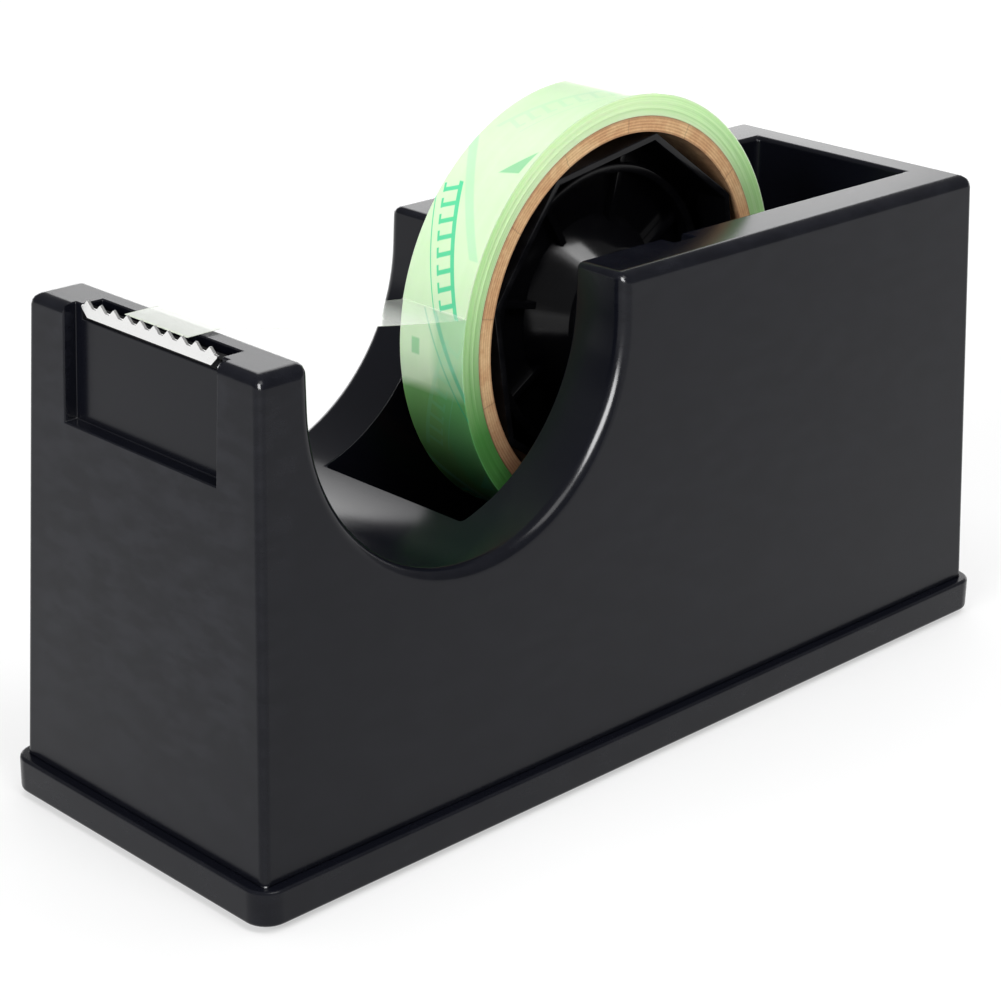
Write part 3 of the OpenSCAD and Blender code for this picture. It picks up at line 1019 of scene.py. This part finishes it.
def blade_insert():
    """The moulded insert that carries the blade, with its two tab slots."""
    half = GROOVE_HALF - SEAT
    front, rear = GROOVE_FRONT + SEAT, GROOVE_REAR - SEAT
    floor, nose = GROOVE_FLOOR + SEAT, NOSE_BOTTOM + SEAT
    step_top, wall_rear = floor + 2.95, front + 1.4
    outline = [
        (front, floor), (rear, floor), (rear, step_top), (wall_rear, step_top),
        (wall_rear, HOLDER_TOP), (NOSE_FRONT, HOLDER_TOP), (NOSE_FRONT, nose), (front, nose),
    ]
    insert = prism("blade_insert", softened(outline, 0.25), -half, half)
    section = rectangle(NOSE_FRONT - 1, TAB_LOW - SEAT, NOSE_FRONT + 9, TAB_HIGH + SEAT)
    reach = TAB_HALF + SEAT
    slots = [prism("slot", section, y - reach, y + reach) for y in TAB_PLACES]
    return combine(insert, merged("slots", slots), "DIFFERENCE")


def toothed_blade():
    """The serrated strip, ground to sharp tips, and its two tabs."""
    pitch = 2 * BLADE_HALF / TOOTH_COUNT
    gullet, tip = 0.3 * pitch, 0.2
    outline = []
    for i in range(TOOTH_COUNT):
        left = -BLADE_HALF + i * pitch
        outline += [
            (left + gullet / 2, BLADE_ROOT), (left + (pitch - tip) / 2, BLADE_ROOT + TOOTH_HEIGHT),
            (left + (pitch + tip) / 2, BLADE_ROOT + TOOTH_HEIGHT),
            (left + pitch - gullet / 2, BLADE_ROOT),
        ]
    h, b, c = BLADE_HALF, BLADE_BOTTOM, BLADE_CORNER
    outline += [(h, BLADE_ROOT), (h, b + c), (h - c, b), (c - h, b), (-h, b + c), (-h, BLADE_ROOT)]
    blade = prism("blade", outline, NOSE_FRONT - BLADE_THICKNESS, NOSE_FRONT, "x")
    round_edges(blade, 0.09, 2)
    section = rectangle(
        NOSE_FRONT - BLADE_THICKNESS / 2, TAB_LOW, NOSE_FRONT + TAB_LENGTH, TAB_HIGH)
    tabs = [prism("tab", section, y - TAB_HALF, y + TAB_HALF) for y in TAB_PLACES]
    return combine(blade, merged("tabs", tabs), "UNION")


insert_plastic = moulded_plastic(
    "insert plastic", (0.002, 0.002, 0.0024), 0.55, 0.65, 0.06, specular=0.06)
finish_piece(smooth(blade_insert()), "housing", insert_plastic, ["blade_holder"])
blade_steel = steel("blade steel", (0.86, 0.86, 0.85), 0.22, 1)
finish_piece(smooth(toothed_blade(), 25), "housing", blade_steel, ["cutter_blade"])

# ------------------------ axle and hub


def hub_body():
    """The octagonal carrier: rim, web, raised ring, ribs and the sleeve round the drum."""
    root = WEB_NEAR + 0.1  # what stands on the web starts a little inside it

    def octagon(radius, y):
        return [about_roll(radius, WHEEL_TURN + TAU * i / 8, y) for i in range(8)]

    wheel = skinned("hub_carrier", [
        octagon(WHEEL_INNER_VERTEX, WEB_NEAR), octagon(WHEEL_INNER_VERTEX, -WHEEL_HALF),
        octagon(WHEEL_VERTEX, -WHEEL_HALF), octagon(WHEEL_VERTEX, WHEEL_HALF),
        octagon(WHEEL_INNER_VERTEX, WHEEL_HALF), octagon(WHEEL_INNER_VERTEX, WEB_FAR),
    ])
    round_edges(wheel, 0.3, 2)
    inner = RING_RADIUS - RING_WIDTH
    ring = [(inner, root), (inner, RING_NEAR), (RING_RADIUS, RING_NEAR), (RING_RADIUS, root)]
    combine(wheel, turned("ring", softened(ring, 0.55)), "UNION")
    ribs = []
    start, end, half, crest = 14.2, WHEEL_INNER_VERTEX + 0.2, 0.8, -1.0
    for i in range(8):
        turn = WHEEL_TURN + TAU * i / 8
        across = Vector((-math.sin(turn), 0, math.cos(turn)))
        rib = [
            Vector(about_roll(r, turn, 0)) + side * half * across
            for r, side in ((start, -1), (end, -1), (end, 1), (start, 1))
        ]
        rib = prism("rib", [(p.x, p.z) for p in rib], crest, root)
        ribs.append(round_edges(rib, 0.25, 2))
    combine(wheel, merged("ribs", ribs), "UNION")
    inside = DRUM_RADIUS - 2.6  # the bore is cut through it last
    sleeve = [(inside, SLEEVE_NEAR), (DRUM_RADIUS + 1, SLEEVE_NEAR), (FLARE_RADIUS, root),
              (SLEEVE_RADIUS, root), (SLEEVE_RADIUS, SLEEVE_FAR), (inside, SLEEVE_FAR)]
    combine(wheel, turned("sleeve", softened(sleeve, 0.5)), "UNION")
    return combine(wheel, disc("bore", DRUM_RADIUS + SEAT, -20, 20), "DIFFERENCE")


def drum():
    """The drum that runs on the axle: shell, web and boss in one turned section."""
    shell, boss, bore, web = DRUM_RADIUS - 1.8, 5.4, AXLE_RADIUS + SEAT, 1.2
    profile = []
    for side in (1, -1):
        half = [(DRUM_RADIUS, side * DRUM_HALF), (shell, side * DRUM_HALF), (shell, side * web),
                (boss, side * web), (boss, side * DRUM_HALF), (bore, side * DRUM_HALF)]
        profile += half[::side]
    return turned("drum", softened(profile, 0.5))


hub_plastic = moulded_plastic(
    "hub plastic", (0.0025, 0.0025, 0.0032), 0.13, 0.20, 0.03, specular=0.2)
hub_carrier = smooth(hub_body())
finish_piece(hub_carrier, "hub", hub_plastic, ["hub_wheel"])
finish_piece(smooth(drum()), "hub", hub_plastic, ["hub_drum"])
retainer = rectangle(DRUM_RADIUS + SEAT, RETAINER_NEAR, RETAINER_RADIUS, RETAINER_FAR)
retainer = smooth(turned("retainer", softened(retainer, 0.4)))
finish_piece(retainer, "hub", hub_plastic, ["hub_retainer"])

axle_steel = steel("axle steel", (0.66, 0.66, 0.67), 0.28, 1)
rod = rectangle(PIN, -AXLE_HALF, AXLE_RADIUS, AXLE_HALF)
finish_piece(smooth(turned("rod", softened(rod, 0.5), 64)), "axle", axle_steel,
             ["axle_rod"])
for node, side in (("spacer_near", -1), ("spacer_far", 1)):
    sleeve = rectangle(SPACER_BORE, side * SPACER_START, SPACER_RADIUS, side * SPACER_END)
    tube = smooth(turned(node.replace("spacer", "tube"), softened(sleeve, 0.6), 72))
    finish_piece(tube, "axle", hub_plastic, [node])

# ------------------------ core, roll and tail


def wound(name, inner, outer, plies, unevenness, seed, thread=0.0):
    """A wound ring with uneven ply edges on both faces.

    A thread is the thickness of the last layer, whose end makes a step at the peel.
    """
    chance = random.Random(seed)
    edges = []
    for side in (-1, 1):
        depths = [chance.uniform(0, unevenness) for _ in range(plies + 1)]
        radii = [inner + (outer - inner) * i / plies for i in range(plies + 1)]
        row = [(r, side * (HALF_TAPE - d)) for r, d in zip(radii, depths)]
        edges.append(row)
    profile = edges[0] + edges[1][::-1]
    loops = []
    sides, whole = 240, TAU * 0.99995  # just short of a turn, so that the step has two edges
    for i in range(sides + 1):
        share = i / sides if thread else i / (sides + 1)
        angle = PEEL_ANGLE + whole * share
        drop = thread * (1 - share)
        loops.append([
            about_roll(r - drop if r == outer else r, angle, y) for r, y in profile
        ])
    return skinned(name, loops, closed=True)


def smoothed_path(points, rounds=3):
    """An open path with its corners cut off a few times; its ends stay."""
    for _ in range(rounds):
        cut = [points[0]]
        for a, b in zip(points, points[1:]):
            cut += [a.lerp(b, 0.25), a.lerp(b, 0.75)]
        points = cut + [points[-1]]
    return points


def free_tail():
    """The film from the peel line to the rest behind the teeth, with a zigzag cut end."""
    rest, sag, cup = TOP + 0.42, 0.8, 0.12
    thickness, notch_pitch, notch_depth = 0.06, 2 * BLADE_HALF / TOOTH_COUNT, 0.9
    surface = ROLL_RADIUS + thickness
    peel = Vector(about_roll(ROLL_RADIUS + 0.62, PEEL_ANGLE, 0))
    landing, lying, cut_end = (Vector((x, 0, rest)) for x in (-87.9, -92, -96.7))
    path = [Vector(about_roll(surface, PEEL_ANGLE - math.radians(a), 0)) for a in (0.6, 0.2)]
    for i in range(13):
        t = i / 12
        path.append(peel.lerp(landing, t) - Vector((0, 0, 4 * sag * t * (1 - t))))
    path = smoothed_path(path + [lying, cut_end])
    columns = 48
    bm = bmesh.new()
    grid = []
    for i, point in enumerate(path):
        row = []
        middle = math.sin(math.pi * i / (len(path) - 1)) ** 2
        for j in range(columns + 1):
            y = HALF_TAPE * (2 * j / columns - 1)
            place = Vector((point.x, y, point.z + cup * middle * (y / HALF_TAPE) ** 2))
            if i == len(path) - 1:
                notch = abs((y + notch_pitch / 2) / notch_pitch % 1 - 0.5) * 2
                place.x += notch_depth * notch
            row.append(bm.verts.new(place * MM))
        grid.append(row)
    for low, high in zip(grid, grid[1:]):
        for j in range(columns):
            bm.faces.new((low[j], low[j + 1], high[j + 1], high[j]))
    tail = object_from(bm, "tail")
    thick = tail.modifiers.new("thick", "SOLIDIFY")
    thick.thickness = thickness * MM
    thick.offset = 0
    return apply_modifiers(tail)


core = wound("core", CORE_INNER, CORE_OUTER, 6, 0.10, 11)
finish_piece(smooth(core, 60), "hub", cardboard("wound paperboard"), ["cardboard_core"])
roll = wound("roll", CORE_OUTER + SEAT, ROLL_RADIUS, 18, 0.12, 5, thread=0.12)
finish_piece(smooth(roll, 60), "hub", wound_tape("wound tape"), ["tape_roll"])
film = clear_film("tape film", 0.42)
tail = smooth(free_tail(), 60)
tail.visible_shadow = False  # clear film hardly darkens what lies behind it
finish_piece(tail, "axle", film, ["tape_tail"])

# ------------------------ camera, floor and light

CAMERA_PLACE = Vector((-0.36353, -0.35476, 0.24760))
CAMERA_YAW = math.radians(44.90)
CAMERA_PITCH = math.radians(21.80)
CAMERA_ROLL = math.radians(0.94)
CAMERA_LENS = 94.16


def make_camera():
    """A camera that looks down on the front corner."""
    forward = Vector((
        math.sin(CAMERA_YAW) * math.cos(CAMERA_PITCH),
        math.cos(CAMERA_YAW) * math.cos(CAMERA_PITCH),
        -math.sin(CAMERA_PITCH),
    ))
    level = Vector((math.cos(CAMERA_YAW), -math.sin(CAMERA_YAW), 0))
    upright = level.cross(forward)
    right = math.cos(CAMERA_ROLL) * level + math.sin(CAMERA_ROLL) * upright
    up = -math.sin(CAMERA_ROLL) * level + math.cos(CAMERA_ROLL) * upright
    data = bpy.data.cameras.new("camera")
    data.lens = CAMERA_LENS
    data.sensor_width = 36
    data.clip_start = 0.01
    data.clip_end = 50
    camera = new_object("camera", data)
    camera.matrix_world = Matrix.LocRotScale(
        CAMERA_PLACE, Matrix((right, up, -forward)).transposed().to_quaternion(), None)
    bpy.context.scene.camera = camera


def make_floor():
    """A wide white table that gives off a little light, so that shadows stay faint."""
    g = Graph("floor")
    g.set(base_color=g.mix(g.noise(0.002), (0.40, 0.40, 0.40), (0.42, 0.42, 0.42)))
    g.set(roughness=0.9, specular_ior_level=0.1)
    distance = g.nodes.new("ShaderNodeVectorMath")
    distance.operation = "LENGTH"
    g.links.new(g.scaled((1, 1, 1)), distance.inputs[0])
    far = step(g, distance.outputs["Value"], 600, 300)
    g.set(emission_color=(1, 1, 1), emission_strength=g.math("MULTIPLY_ADD", far, 0.35, 0.5))
    mesh = bpy.data.meshes.new("floor")
    half = 6.0
    mesh.from_pydata([(-half, -half, 0), (half, -half, 0), (half, half, 0), (-half, half, 0)],
                     [], [(0, 1, 2, 3)])
    mesh.materials.append(g.material)
    new_object("floor", mesh)


def softbox(name, direction, distance, size, radiance, kind="both", only=None):
    """A rectangular light facing the object. Its kind is diffuse, glossy or both."""
    target = Vector((0, 0, 0.06))
    place = target + Vector(direction).normalized() * distance
    data = bpy.data.lights.new(name, "AREA")
    data.shape = "RECTANGLE"
    data.size, data.size_y = size
    data.energy = radiance * math.pi * size[0] * size[1]
    light = new_object(name, data)
    light.location = place
    light.rotation_mode = "QUATERNION"
    light.rotation_quaternion = (target - place).to_track_quat("-Z", "Y")
    light.visible_camera = False
    light.visible_diffuse = kind != "glossy"
    light.visible_glossy = kind != "diffuse"
    if only is not None:
        receivers = bpy.data.collections.new(name + "_receivers")
        receivers.objects.link(only)
        light.light_linking.receiver_collection = receivers


def make_light():
    """A dim room with soft lights, a bright low wall behind, and gloss on chosen pieces.

    The rear and strip lights only show in the housing's gloss, and the spot in the hub's.
    """
    world = bpy.data.worlds.new("studio")
    world.use_nodes = True
    background = world.node_tree.nodes["Background"]
    background.inputs["Color"].default_value = (1, 1, 1, 1)
    background.inputs["Strength"].default_value = 0.32
    bpy.context.scene.world = world
    softbox("overhead", (0, 0, 1), 1.5, (1.6, 1.6), 2.0, kind="diffuse")
    softbox("front", (-0.05, -0.6, 0.80), 1.3, (0.6, 0.6), 6.0)
    softbox("left", (-0.9, -0.15, 0.42), 1.3, (0.5, 0.3), 17.0, kind="diffuse")
    softbox("wall", (0.75, 0.62, 0.12), 0.7, (1.4, 0.29), 2.1)
    softbox("rear", (0.58, 0.62, 0.50), 1.2, (0.6, 0.5), 2.6, kind="glossy", only=housing)
    softbox("strip", (-0.60, -0.66, 0.44), 1.2, (0.6, 0.8), 42.0, kind="glossy", only=housing)
    softbox("spot", (0.02, -0.36, 0.93), 1.0, (0.34, 0.3), 14.0, kind="glossy", only=hub_carrier)
    view = bpy.context.scene.view_settings
    view.view_transform = "Standard"
    view.look = "None"


make_camera()
make_floor()
make_light()
